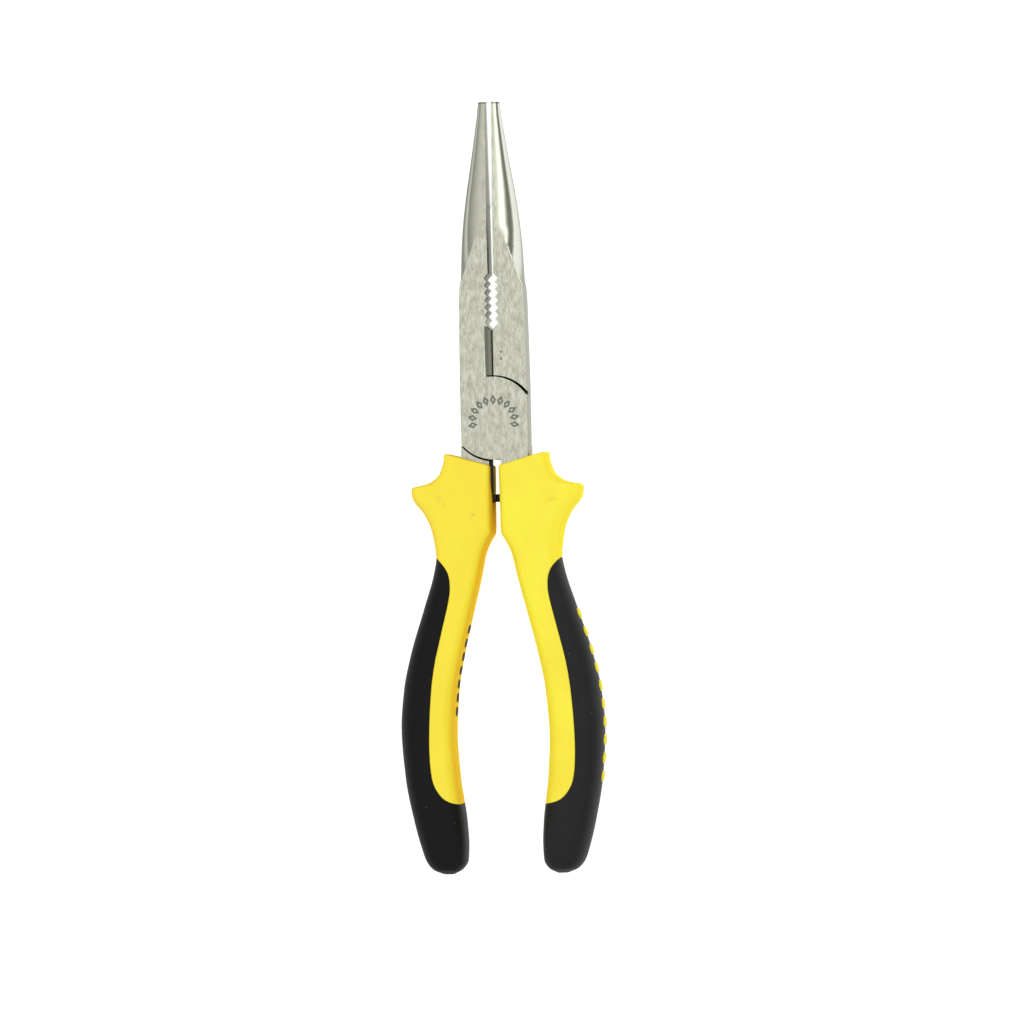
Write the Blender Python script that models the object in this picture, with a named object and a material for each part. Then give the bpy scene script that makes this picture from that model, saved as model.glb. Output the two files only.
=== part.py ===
"""Long-nose pliers, 200 mm, lying flat: jaws towards +Y, front face up, pivot on the Z axis.

Two equal forged levers cross in a lap joint at a rivet. Each lever carries one jaw above the joint
and one gripped handle below it, on the other side. Everything is drawn once, for the half whose
jaw is at +X and whose handle is at -X, closed and centred on the mid plane of the joint. The other
half is the same half turned by 180 degrees about Y.
"""

import math

import bmesh
import bpy

MM = 0.001

# Driving dimensions, in millimetres and degrees
TIP_Y = 82.1
END_Y = -117.9
REST_OPENING = 0.75
JOINT_THICKNESS = 10.0
PLATE_RADIUS = 10.85
PLATE_CORNER_RADIUS = 10.35
PLATE_BOTTOM_RADIUS = 10.6
RECESS_RADIUS = 11.12
LAP_GAP = 0.04
HALF_JOINT_WIDTH = 8.65
FACE_GAP = 0.02

RIVET_SHANK_RADIUS = 3.5
RIVET_HEAD_RADIUS = 4.9
RIVET_HEAD_DEPTH = 1.6
RIVET_FIT = 0.02

FINE_TEETH_BOTTOM = 55.2
FINE_TOOTH_PITCH = 0.65
FINE_TOOTH_DEPTH = 0.32
FACE_HOLLOW, HOLLOW_LENGTH = 0.18, 16.0
JAW_RELIEF = 0.5
PIPE_TEETH = 7
PIPE_TOP = 37.5
PIPE_FIRST_VALLEY = 36.25
PIPE_PITCH = 1.915
PIPE_PEAK_X = 0.85
PIPE_VALLEY_X = 1.65
CUTTER_TOP = 22.9
BACK_CUTTER_BEVEL, FRONT_CUTTER_BEVEL = 1.85, 0.1
CUTTER_KNEE_DEPTH, CUTTER_KNEE_SHARE = 1.2, 0.12

TANG_END_Y = -98.0
TANG_FIT = 0.2
LUG_TOP, LUG_BOTTOM, LUG_HALF_DEPTH = -19.6, -21.6, 3.0

COLLAR_SLOPE = 0.27
COLLAR_MOUTH_Y = -12.0
COLLAR_SHOULDER_Y = -13.6
GRIP_HALF_THICKNESS = 7.75
NOTCH_HALF_WIDTH = 6.0
NOTCH_SHOULDER = -15.7
NOTCH_BOTTOM = -20.7
TANG_INNER_X = 1.5
OVERMOULD_DEPTH = 2.0
OVERMOULD_GAP = 0.1

RIBS = 7
RIB_TOP, RIB_PITCH, RIB_LENGTH, RIB_HEIGHT = -54.5, 3.55, 2.4, 4.2
RIB_PROUD, RIB_SINK, RIB_GAP = 0.15, 0.9, 0.05
PADS = 10
PAD_TOP, PAD_PITCH, PAD_LENGTH, PAD_HEIGHT = -51.0, 4.7, 2.8, 3.6
PAD_PROUD = 0.45

SECTION_POINTS = 20
NOSE_POINTS = 14
HALF_THICKNESS = JOINT_THICKNESS / 2

# Shapes as (y, value) pairs, joined by smooth curves. Distances are from the centre line, closed.
JAW_HALF_WIDTH = [(-12, 8.65), (8, 8.6), (24, 8.3), (38, 7.95), (45, 7.6), (50, 7.15), (57.5, 6.15),
                  (66, 4.7), (74, 3.4), (80, 2.5), (82.1, 2.3)]
NOSE_DEPTH = [(-12, 300), (29, 200), (32, 80), (34, 30), (36.4, 11.5), (39, 8.2), (42.3, 6.64),
              (46.3, 5.72), (49.4, 5.13), (51, 4.95), (58, 4.2), (66, 3.3), (74, 2.4), (82.1, 1.5)]
GRIP_OUTER = [(-7, 12.9), (-12.4, 13.2), (-13.2, 13.3), (-14.0, 14.0), (-14.4, 14.55), (-15.4, 15.6),
              (-16.25, 16.8), (-16.75, 18.0), (-17.1, 19.6), (-17.4, 21.2), (-17.8, 22.0),
              (-18.6, 22.1), (-20.2, 21.9), (-21.5, 21.3), (-24.1, 19.2), (-28, 17.3),
              (-31.9, 16.47), (-35.8, 16.08), (-39.6, 16.69), (-48.9, 19.46), (-61.4, 23.29),
              (-70, 25.1), (-80, 25.93), (-92.4, 25.1), (-104.8, 22.83), (-111, 21.19),
              (-114.8, 19.85), (-116.9, 18.06), (-117.9, 15.66)]
GRIP_INNER = [(-7, 0.95), (-29.5, 0.95), (-31.3, 1.87), (-34.4, 3.23), (-40.9, 4.64), (-50, 6.86),
              (-61.4, 9.54), (-70, 11.05), (-82, 11.78), (-92.4, 11.15), (-104.8, 9.53), (-110.5, 9.19),
              (-114.5, 9.35), (-116.8, 10.66), (-117.9, 12.66)]
GRIP_DEPTH = [(-7, 7.7), (-20, 8.0), (-26, 7.9), (-36, 6.7), (-50, 7.0), (-62, 7.5), (-76, 7.9),
              (-92, 7.8), (-108, 7.2), (-113.5, 6.5), (-116.6, 5.0), (-117.9, 2.6)]
PALM_SQUARENESS = [(-9, 7.0), (-15, 6.0), (-19, 3.8), (-28, 3.4), (-40, 2.7), (-117.9, 2.6)]
INNER_SQUARENESS = [(-9, 9.0), (-27, 8.0), (-37, 4.5), (-117.9, 3.6)]
TANG_CENTRE = [(-10, 5.05), (-17, 5.05), (-24, 5.8), (-35, 9.28), (-50, 13.11), (-60, 15.73), (-80, 18.58),
               (-98, 17.22)]
TANG_HALF_WIDTH = [(-10, 3.55), (-17, 3.55), (-24, 3.5), (-32, 3.3), (-40, 2.9), (-98, 2.4)]
TANG_HALF_DEPTH = [(-10, 4.95), (-24, 4.95), (-32, 3.7), (-40, 3.3), (-98, 3.0)]

# The line where the black overmould meets the yellow core, as (x, y) points of one smooth curve
OVERMOULD_LINE = [(17.28, -35.2), (15.08, -36.9), (12.99, -39.7), (12.39, -43), (12.8, -47),
                  (14.72, -55.1), (16.64, -63.4), (17.76, -72), (18.33, -84), (17.8, -92.4),
                  (16.21, -96.5), (13.52, -98.9), (9.22, -99.9), (7.72, -100.1)]


def clear_scene():
    for obj in list(bpy.data.objects):
        bpy.data.objects.remove(obj, do_unlink=True)


def make_material(name, colour, roughness, metallic):
    material = bpy.data.materials.new(name)
    material.use_nodes = True
    shader = material.node_tree.nodes["Principled BSDF"]
    shader.inputs["Base Color"].default_value = (*colour, 1.0)
    shader.inputs["Roughness"].default_value = roughness
    shader.inputs["Metallic"].default_value = metallic
    return material


def smooth(points):
    """A function through the (y, value) points, cubic between them and never overshooting."""
    points = sorted(points)
    ys = [point[0] for point in points]
    values = [point[1] for point in points]
    steps = [b - a for a, b in zip(ys, ys[1:])]
    rises = [(b - a) / step for a, b, step in zip(values, values[1:], steps)]
    slopes = [rises[0]]
    for left, right, before, after in zip(rises, rises[1:], steps, steps[1:]):
        if left * right <= 0:
            slopes.append(0.0)
            continue
        first, second = 2 * after + before, after + 2 * before
        slopes.append((first + second) / (first / left + second / right))
    slopes.append(rises[-1])

    def value(y):
        y = min(max(y, ys[0]), ys[-1])
        i = max(k for k in range(len(steps)) if ys[k] <= y)
        t = (y - ys[i]) / steps[i]
        near = (1 + 2 * t) * (1 - t) ** 2 * values[i] + t * (1 - t) ** 2 * steps[i] * slopes[i]
        far = t * t * (3 - 2 * t) * values[i + 1] - t * t * (1 - t) * steps[i] * slopes[i + 1]
        return near + far

    return value


def through(points, steps):
    """A smooth curve through plan points (Catmull-Rom), with this many steps between two of them."""
    ends = [points[0], *points, points[-1]]
    curve = []
    for a, b, c, d in zip(ends, ends[1:], ends[2:], ends[3:]):
        for step in range(steps):
            t = step / steps
            curve.append(tuple(
                0.5 * (2 * q + (r - p) * t + (2 * p - 5 * q + 4 * r - s) * t * t
                       + (3 * q - p - 3 * r + s) * t ** 3)
                for p, q, r, s in zip(a, b, c, d)
            ))
    return curve + [points[-1]]


def arc(radius, start, end, steps, last_radius=None):
    """Points round the pivot, from one angle in degrees to another, on a circle or a slow spiral."""
    grow = (last_radius or radius) - radius
    points = []
    for k in range(steps + 1):
        angle = math.radians(start + (end - start) * k / steps)
        reach = radius + grow * k / steps
        points.append((reach * math.cos(angle), reach * math.sin(angle)))
    return points


jaw_half_width, nose_depth = smooth(JAW_HALF_WIDTH), smooth(NOSE_DEPTH)
grip_outer, grip_inner, grip_depth = smooth(GRIP_OUTER), smooth(GRIP_INNER), smooth(GRIP_DEPTH)
tang_centre, tang_half_width = smooth(TANG_CENTRE), smooth(TANG_HALF_WIDTH)
tang_half_depth = smooth(TANG_HALF_DEPTH)
palm_squareness, inner_squareness = smooth(PALM_SQUARENESS), smooth(INNER_SQUARENESS)


def loft(name, rings):
    """A closed solid through rings of points in millimetres, with flat ends."""
    mesh = bmesh.new()
    rows = [[mesh.verts.new([MM * value for value in point]) for point in ring] for ring in rings]
    for row, after in zip(rows, rows[1:]):
        for k in range(len(row)):
            following = (k + 1) % len(row)
            mesh.faces.new((row[k], row[following], after[following], after[k]))
    mesh.faces.new(rows[0])
    mesh.faces.new(rows[-1])
    bmesh.ops.recalc_face_normals(mesh, faces=mesh.faces)
    data = bpy.data.meshes.new(name)
    mesh.to_mesh(data)
    mesh.free()
    obj = bpy.data.objects.new(name, data)
    bpy.context.scene.collection.objects.link(obj)
    return obj


def prism(name, outline, bottom, top):
    return loft(name, [[(x, y, z) for x, y in outline] for z in (bottom, top)])


def box(name, low, high):
    corners = [(low[0], low[1]), (high[0], low[1]), (high[0], high[1]), (low[0], high[1])]
    return prism(name, corners, low[2], high[2])


def turned(name, profile, sides=36):
    """A solid turned about the pivot axis from (radius, z) points."""
    angles = [2 * math.pi * k / sides for k in range(sides)]
    rings = [[(r * math.cos(angle), r * math.sin(angle), z) for angle in angles] for r, z in profile]
    return loft(name, rings)


def combine(target, tool, operation):
    """Applies one exact Boolean to the target and removes the tool."""
    modifier = target.modifiers.new(operation, "BOOLEAN")
    modifier.operation = operation
    modifier.solver = "EXACT"
    modifier.object = tool
    graph = bpy.context.evaluated_depsgraph_get()
    before = target.data
    target.data = bpy.data.meshes.new_from_object(target.evaluated_get(graph))
    target.modifiers.clear()
    target.data.name = target.name
    bpy.data.meshes.remove(before)
    bpy.data.objects.remove(tool, do_unlink=True)
    return target


def finish(obj, material, parent, smooth_angle=32.0):
    obj.data.materials.clear()
    obj.data.materials.append(material)
    obj.data.shade_smooth()
    obj.data.set_sharp_from_angle(angle=math.radians(smooth_angle))
    obj.parent = parent
    return obj


# Lever: head with jaw and lap plate, then the tang that runs down inside the grip


def fine_teeth():
    """The cross serrations on the gripping face, from the tip down, where only the tips meet."""
    count = round((TIP_Y - FINE_TEETH_BOTTOM) / FINE_TOOTH_PITCH)
    pitch = (TIP_Y - FINE_TEETH_BOTTOM) / count
    points = []
    for k in range(count):
        peak = FACE_GAP + FACE_HOLLOW * min(1.0, k * pitch / HOLLOW_LENGTH)
        points.append((peak, TIP_Y - k * pitch))
        points.append((peak + FINE_TOOTH_DEPTH, TIP_Y - (k + 0.5) * pitch))
    return points + [(FACE_GAP + FACE_HOLLOW, FINE_TEETH_BOTTOM)]


def pipe_teeth():
    """The coarse teeth of the round-stock grip, valley, peak, valley and so on."""
    points = [(JAW_RELIEF, PIPE_TOP)]
    for k in range(PIPE_TEETH):
        valley = PIPE_FIRST_VALLEY - k * PIPE_PITCH
        if k:
            points.append((PIPE_PEAK_X, valley + PIPE_PITCH / 2))
        points.append((PIPE_VALLEY_X, valley))
    return points + [(FACE_GAP, CUTTER_TOP)]


def head_outline():
    """Plan of the head. Its right side is left wide, because the nose envelope trims it."""
    side = math.degrees(math.acos(HALF_JOINT_WIDTH / PLATE_CORNER_RADIUS))
    wide = PLATE_RADIUS - 0.2
    low = math.degrees(math.acos(wide / PLATE_RADIUS))
    relief = [(JAW_RELIEF, FINE_TEETH_BOTTOM - 0.6)]
    inner = fine_teeth() + relief + pipe_teeth()
    plate_top = arc(PLATE_RADIUS, 90, 180 - side, 10, PLATE_CORNER_RADIUS)
    tang_root = [(-HALF_JOINT_WIDTH, -13.0), (-TANG_INNER_X, -13.0)]
    root = math.degrees(math.asin(TANG_INNER_X / PLATE_BOTTOM_RADIUS))
    plate_bottom = arc(PLATE_BOTTOM_RADIUS, 270 - root, 360 - low, 16, PLATE_RADIUS)
    right = [(wide, 20.0), (wide, TIP_Y + 1.0), (FACE_GAP, TIP_Y + 1.0)]
    return inner + plate_top + tang_root + plate_bottom + right


def nose_ring(y):
    """Half-round section of the jaw at y, open to the side of the gripping face."""
    half_width, depth = jaw_half_width(y), nose_depth(y)
    clear = HALF_THICKNESS + 1.0
    reach = math.asin(min(1.0, clear / depth))
    ring = [(-30.0, y, -depth * math.sin(reach))]
    for k in range(NOSE_POINTS + 1):
        angle = reach * (2 * k / NOSE_POINTS - 1)
        ring.append((half_width * math.cos(angle), y, depth * math.sin(angle)))
    return ring + [(-30.0, y, depth * math.sin(reach))]


def nose_envelope():
    stations = [-20.0, -12.0, 8.0, 20.0, 27.0, 29.0]
    stations += [29.0 + (50.0 - 29.0) * k / 14 for k in range(1, 15)]
    stations += [50.0 + (TIP_Y - 50.0) * k / 6 for k in range(1, 7)]
    return loft("nose_envelope", [nose_ring(y) for y in stations])


def cutter_bevel(name, bevel, sign):
    """Wedge of two slopes that sharpens the jaw, from one face down to the edge on the mid plane."""
    low, high = PLATE_RADIUS - 0.05, CUTTER_TOP + 0.9
    tall, knee = HALF_THICKNESS + 0.5, HALF_THICKNESS - CUTTER_KNEE_DEPTH
    near = FACE_GAP + CUTTER_KNEE_SHARE * bevel
    reach = near + (1 - CUTTER_KNEE_SHARE) * bevel * (tall - knee) / CUTTER_KNEE_DEPTH
    section = [(FACE_GAP, 0.02 * sign), (near, knee * sign), (reach, tall * sign),
               (-1.0, tall * sign), (-1.0, 0.02 * sign)]
    return loft(name, [[(x, y, z) for x, z in section] for y in (low, high)])


def tang_ring(y, grow=0.0):
    centre, half = -tang_centre(y), tang_half_width(y) + grow
    deep = tang_half_depth(y) + grow
    return [(centre - half, y, -deep), (centre + half, y, -deep),
            (centre + half, y, deep), (centre - half, y, deep)]


def tang(name, top, grow=0.0):
    bottom = TANG_END_Y - grow
    stations = [top, -17.0, -20.5, -24.0, -28.0, -32.0]
    stations += [-32.0 + (bottom + 32.0) * k / 9 for k in range(1, 10)]
    return loft(name, [tang_ring(y, grow) for y in stations])


def lug(name, grow=0.0):
    """Stop lug on the tang, which meets the other lever's lug when the pliers close."""
    low = (-4.0, LUG_BOTTOM - grow, -LUG_HALF_DEPTH - grow)
    return box(name, low, (grow - FACE_GAP, LUG_TOP + grow, LUG_HALF_DEPTH + grow))


def rivet_profile(grow):
    rim = HALF_THICKNESS + (1.0 if grow else 0.0)
    slope = (RIVET_HEAD_RADIUS - RIVET_SHANK_RADIUS) / RIVET_HEAD_DEPTH
    head = RIVET_HEAD_RADIUS + grow + slope * (rim - HALF_THICKNESS)
    neck = HALF_THICKNESS - RIVET_HEAD_DEPTH
    shank = RIVET_SHANK_RADIUS + grow
    return [(head, -rim), (shank, -neck), (shank, neck), (head, rim)]


def lever(name):
    """One forged lever: jaw at +X, lap plate in the back layer, tang at -X."""
    body = prism(name, head_outline(), -HALF_THICKNESS, HALF_THICKNESS)
    combine(body, nose_envelope(), "INTERSECT")
    recess = [(RECESS_RADIUS, -LAP_GAP / 2), (RECESS_RADIUS, 9.0)]
    combine(body, turned("recess", recess, sides=72), "DIFFERENCE")
    combine(body, cutter_bevel("back_bevel", BACK_CUTTER_BEVEL, -1), "DIFFERENCE")
    combine(body, cutter_bevel("front_bevel", FRONT_CUTTER_BEVEL, 1), "DIFFERENCE")
    combine(body, tang("tang", -12.0), "UNION")
    combine(body, lug("lug"), "UNION")
    combine(body, turned("rivet_hole", rivet_profile(RIVET_FIT)), "DIFFERENCE")
    return body


# Grip: a hard yellow core with a soft black overmould on its outer side and end


def grip_stations():
    """Where the sections of a grip lie, closest where the outline turns most."""
    wing = [-14.4, -15.1, -15.6, -16.0, -16.4, -16.8, -17.1, -17.4, -17.8, -18.6, -20.2, -21.5]
    neck = [-24.0, -26.0, -28.0, -30.0, -32.0]
    handle = [-35.5 - 6.2 * k for k in range(13)]
    return wing + neck + handle + [-113.5, -115.2, -116.6, -117.5, END_Y]


def grip_ring(y, inset=0.0, points=SECTION_POINTS, slope=0.0):
    """Rounded section of a handle: flatter towards the other handle, rounder on the palm side."""
    outer, inner = grip_outer(y) - inset, grip_inner(y) + inset
    centre, half = (outer + inner) / 2, (outer - inner) / 2
    deep = grip_depth(y) - inset
    flat = GRIP_HALF_THICKNESS - inset
    ring = []
    for k in range(points):
        angle = 2 * math.pi * (k + 0.5) / points
        across, up = math.cos(angle), math.sin(angle)
        power = 2 / (palm_squareness(y) if across > 0 else inner_squareness(y))
        x = centre + half * math.copysign(abs(across) ** power, across)
        z = deep * math.copysign(abs(up) ** power, up)
        ring.append((-x, y + slope * (x - inner), max(-flat, min(flat, z))))
    return ring


def grip_body(name, inset=0.0, points=SECTION_POINTS):
    stations = grip_stations()
    if inset:
        stations = [-30.0 - 8.0 * k for k in range(11)] + [-113.0, END_Y + inset]
        return loft(name, [grip_ring(y, inset, points) for y in stations])
    mouth = grip_ring(COLLAR_MOUTH_Y, slope=COLLAR_SLOPE)
    shoulder = grip_ring(COLLAR_SHOULDER_Y, slope=COLLAR_SLOPE / 2)
    return loft(name, [mouth, shoulder] + [grip_ring(y) for y in stations])


def overmould_region(name, shift=0.0):
    """Everything on the palm side of the parting line, and below it."""
    line = [(-x - shift, y - shift * (y < -95.0)) for x, y in through(OVERMOULD_LINE, 4)]
    outline = line + [(0.0, line[-1][1]), (0.0, -130.0), (-40.0, -130.0), (-40.0, line[0][1])]
    return prism(name, outline, -12.0, 12.0)


def across_handle(y, surface, step=1.0):
    """The place of a handle's surface at y and the angle that it leans there, in radians."""
    return surface(y), math.atan2(surface(y + step) - surface(y - step), 2 * step)


def bar(name, y, surface, outwards, length, height, sink, proud):
    """A rounded bar standing on a handle's side, square to it."""
    x, lean = across_handle(y, surface)
    half, corner = height / 2, min(length, height) / 2 - 0.1
    section = []
    for start, side_y, side_z in ((0, 1, 1), (90, -1, 1), (180, -1, -1), (270, 1, -1)):
        for step in range(4):
            angle = math.radians(start + 30 * step)
            section.append((side_y * (length / 2 - corner) + corner * math.cos(angle),
                            side_z * (half - corner) + corner * math.sin(angle)))
    rings = []
    for depth in (-sink, proud):
        ring = []
        for along, up in section:
            out = outwards * depth
            ring.append((-(x + out * math.cos(lean) + along * math.sin(lean)),
                         y + along * math.cos(lean) - out * math.sin(lean), up))
        rings.append(ring)
    return loft(name, rings)


def rib(name, k, grow=0.0):
    """Rubber rib number k on the side of the handle that faces the other handle."""
    y = RIB_TOP - k * RIB_PITCH
    proud = 2.0 if grow else RIB_PROUD
    return bar(name, y, grip_inner, -1, RIB_LENGTH + 2 * grow, RIB_HEIGHT + 2 * grow,
               RIB_SINK + grow, proud)


def pad(name, k, grow=0.0):
    """Raised pad number k of the core, which shows through the overmould on the palm side."""
    y = PAD_TOP - k * PAD_PITCH
    proud = 2.0 if grow else PAD_PROUD
    return bar(name, y, grip_outer, 1, PAD_LENGTH + 2 * grow, PAD_HEIGHT + 2 * grow,
               OVERMOULD_DEPTH + 0.5, proud)


def notch():
    """U-shaped opening in the collar's inner wall, which shows the tang."""
    width, deep = NOTCH_HALF_WIDTH, NOTCH_SHOULDER - NOTCH_BOTTOM
    bow = [math.radians(180 + 18 * k) for k in range(11)]
    outline = [(width * math.cos(angle), NOTCH_SHOULDER + deep * math.sin(angle)) for angle in bow]
    outline += [(width, 0.0), (-width, 0.0)]
    return loft("notch", [[(x, y, z) for z, y in outline] for x in (-TANG_INNER_X - 1.0, 2.0)])


def grip_core(name, pads):
    core = grip_body(name)
    combine(core, overmould_region("region"), "DIFFERENCE")
    combine(core, grip_body("inside", OVERMOULD_DEPTH, 16), "UNION")
    for k in range(pads):
        combine(core, pad("pad", k), "UNION")
    combine(core, tang("cavity", -5.0, TANG_FIT), "DIFFERENCE")
    combine(core, notch(), "DIFFERENCE")
    combine(core, lug("lug_slot", TANG_FIT), "DIFFERENCE")
    for k in range(RIBS):
        combine(core, rib("pocket", k, RIB_GAP), "DIFFERENCE")
    return core


def overmould(name, pads):
    cover = grip_body(name)
    combine(cover, overmould_region("region", OVERMOULD_GAP), "INTERSECT")
    combine(cover, grip_body("inside", OVERMOULD_DEPTH - OVERMOULD_GAP, 16), "DIFFERENCE")
    for k in range(pads):
        combine(cover, pad("window", k, OVERMOULD_GAP), "DIFFERENCE")
    return cover


def half(parent, side, lever_name, pads, materials):
    """One half of the pliers under its own empty: lever, grip core, overmould and ribs."""
    finish(lever(lever_name), materials["steel"], parent)
    finish(grip_core(side + "_grip_core", pads), materials["yellow"], parent)
    finish(overmould(side + "_grip_overmould", pads), materials["black"], parent)
    for k in range(RIBS):
        finish(rib(f"{side}_grip_rib_{k + 1}", k), materials["black"], parent)


def axis_empty(name, rotation):
    empty = bpy.data.objects.new(name, None)
    empty.location = (0.0, 0.0, HALF_THICKNESS * MM)
    empty.rotation_euler = rotation
    bpy.context.scene.collection.objects.link(empty)
    return empty


def main():
    clear_scene()
    materials = {
        "steel": make_material("ground_steel", (0.52, 0.52, 0.42), 0.38, 1.0),
        "yellow": make_material("yellow_plastic", (0.98, 0.80, 0.05), 0.40, 0.0),
        "black": make_material("black_rubber", (0.022, 0.024, 0.026), 0.70, 0.0),
    }
    open_half = math.radians(REST_OPENING / 2)
    front = axis_empty("front_half_axis", (0.0, math.pi, open_half))
    back = axis_empty("back_half_axis", (0.0, 0.0, -open_half))
    half(front, "right", "front_lever", PADS, materials)
    half(back, "left", "back_lever", 0, materials)
    finish(turned("pivot_rivet", rivet_profile(0.0)), materials["steel"], front)


main()
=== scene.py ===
"""Looks of the 200 mm long-nose pliers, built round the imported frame.

Lengths in the functions below are in millimetres, and become metres when a piece is installed. Both
halves of the pliers are drawn alike: closed, with the jaw at +X, the handle at -X and z = 0 at the
middle of the joint. PLACES then turns each half to where the frame has it at rest.
"""

import math

import bmesh
import bpy
import numpy as np
from mathutils import Euler, Matrix, Vector


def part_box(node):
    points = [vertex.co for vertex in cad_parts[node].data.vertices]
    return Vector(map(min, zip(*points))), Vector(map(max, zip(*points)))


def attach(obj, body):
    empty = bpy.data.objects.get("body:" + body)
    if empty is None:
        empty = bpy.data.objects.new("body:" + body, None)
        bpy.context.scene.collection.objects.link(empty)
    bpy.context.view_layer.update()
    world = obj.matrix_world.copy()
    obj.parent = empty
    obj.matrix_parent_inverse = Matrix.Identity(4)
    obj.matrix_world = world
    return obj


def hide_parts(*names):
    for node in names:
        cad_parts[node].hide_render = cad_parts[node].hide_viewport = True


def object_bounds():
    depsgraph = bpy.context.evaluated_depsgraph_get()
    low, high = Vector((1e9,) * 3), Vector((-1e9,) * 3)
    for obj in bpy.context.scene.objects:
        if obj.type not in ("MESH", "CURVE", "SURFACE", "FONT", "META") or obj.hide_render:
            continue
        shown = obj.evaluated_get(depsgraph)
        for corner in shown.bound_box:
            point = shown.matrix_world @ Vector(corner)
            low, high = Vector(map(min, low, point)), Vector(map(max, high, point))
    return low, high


MM = 0.001

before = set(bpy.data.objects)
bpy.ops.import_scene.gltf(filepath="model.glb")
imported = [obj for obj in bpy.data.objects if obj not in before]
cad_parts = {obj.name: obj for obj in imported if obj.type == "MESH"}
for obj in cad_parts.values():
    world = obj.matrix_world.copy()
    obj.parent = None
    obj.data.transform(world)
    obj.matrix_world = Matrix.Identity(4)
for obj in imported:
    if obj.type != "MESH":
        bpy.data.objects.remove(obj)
cad_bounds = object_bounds()

# The joint, as thick as the frame has it, and with the jaws a little open at rest
HALF_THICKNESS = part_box("front_lever")[1].z / MM / 2
PIVOT = Vector((0.0, 0.0, HALF_THICKNESS * MM))
REST_OPENING = 0.75
OPEN_HALF = math.radians(REST_OPENING / 2)
PLACES = {
    "front_half": Matrix.Translation(PIVOT) @ Euler((0, math.pi, OPEN_HALF)).to_matrix().to_4x4(),
    "back_half": Matrix.Translation(PIVOT) @ Euler((0, 0, -OPEN_HALF)).to_matrix().to_4x4(),
}

# Head
TIP_Y = 82.1
PLATE_RADIUS = 10.85
PLATE_CORNER_RADIUS = 10.35
PLATE_BOTTOM_RADIUS = 10.6
RECESS_RADIUS, RECESS_TOP = 11.12, 9.0
LAP_GAP = 0.04
HALF_JOINT_WIDTH = 8.65
FACE_GAP = 0.02
EDGE_ROUNDING = 0.09
RIVET_SHANK_RADIUS, RIVET_HEAD_RADIUS, RIVET_HEAD_DEPTH = 3.5, 4.9, 1.6
RIVET_FIT = 0.01
FINE_TEETH_BOTTOM, FINE_TEETH, FINE_TOOTH_DEPTH = 55.2, 41, 0.32
FINE_TOOTH_PITCH = (TIP_Y - FINE_TEETH_BOTTOM) / FINE_TEETH
FACE_HOLLOW, HOLLOW_LENGTH = 0.18, 16.0
JAW_RELIEF, RELIEF_SLOPE = 0.5, 0.6
PIPE_TEETH = 7
PIPE_TOP, PIPE_FIRST_VALLEY, PIPE_PITCH = 37.5, 36.25, 1.915
PIPE_PEAK_X, PIPE_VALLEY_X = 0.85, 1.65
CUTTER_TOP, BACK_CUTTER_BEVEL, FRONT_CUTTER_BEVEL = 22.9, 1.85, 0.1
CUTTER_KNEE_DEPTH, CUTTER_KNEE_SHARE = 1.2, 0.12
TANG_ROOT_Y, TANG_TOP_Y, TANG_END_Y = -13.0, -12.0, -98.0
TANG_INNER_X, TANG_FIT, CAVITY_TOP_Y = 1.5, 0.2, -5.0
TANG_STATIONS = [-17.0, -20.5, -24.0, -28.0, -32.0]
LUG_TOP, LUG_BOTTOM, LUG_ROOT_X, LUG_HALF_DEPTH = -19.6, -21.6, -4.0, 3.0
NOSE_POINTS, NOSE_STATIONS = 48, [-20.0, -12.0, 8.0, 20.0, 27.0]
PUNCH_MARKS, PUNCH_DEPTH, PUNCH_RADIUS = [(2.06, 17.2), (2.2, 15.4)], 0.22, 0.36

# Grips
END_Y = -117.9
COLLAR_MOUTH_Y, COLLAR_SLOPE, COLLAR_ROUNDING = -12.0, 0.27, 0.7
GRIP_HALF_THICKNESS = 7.75
NOTCH_HALF_WIDTH, NOTCH_SHOULDER, NOTCH_BOTTOM = 6.0, -15.7, -20.7
OVERMOULD_DEPTH, OVERMOULD_BACK_GAP = 1.9, 0.1
SEAM_DEPTH, SEAM_WIDTH = 0.12, 0.3
RIBS, RIB_TOP, RIB_PITCH, RIB_LENGTH, RIB_HEIGHT = 7, -54.5, 3.55, 2.4, 4.2
PADS, PAD_TOP, PAD_PITCH, PAD_LENGTH, PAD_HEIGHT, PAD_PROUD = 10, -51.0, 4.7, 2.8, 3.6, 0.3
END_FLAT = 0.2
SECTION_STEPS, RING_POINTS = 720, 132

# The share of the collar's slope that is left at each y below its mouth, as (y, share)
COLLAR_SLOPE_SHARES = [(-13.2, 0.75), (-13.6, 0.5), (-14.0, 0.25)]

# The side of a rib, as (height above the grip, distance inside the rib's outline)
RIB_PROFILE = [(-0.9, 0.0), (0.0, 0.0), (0.07, 0.04), (0.12, 0.16)]

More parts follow.
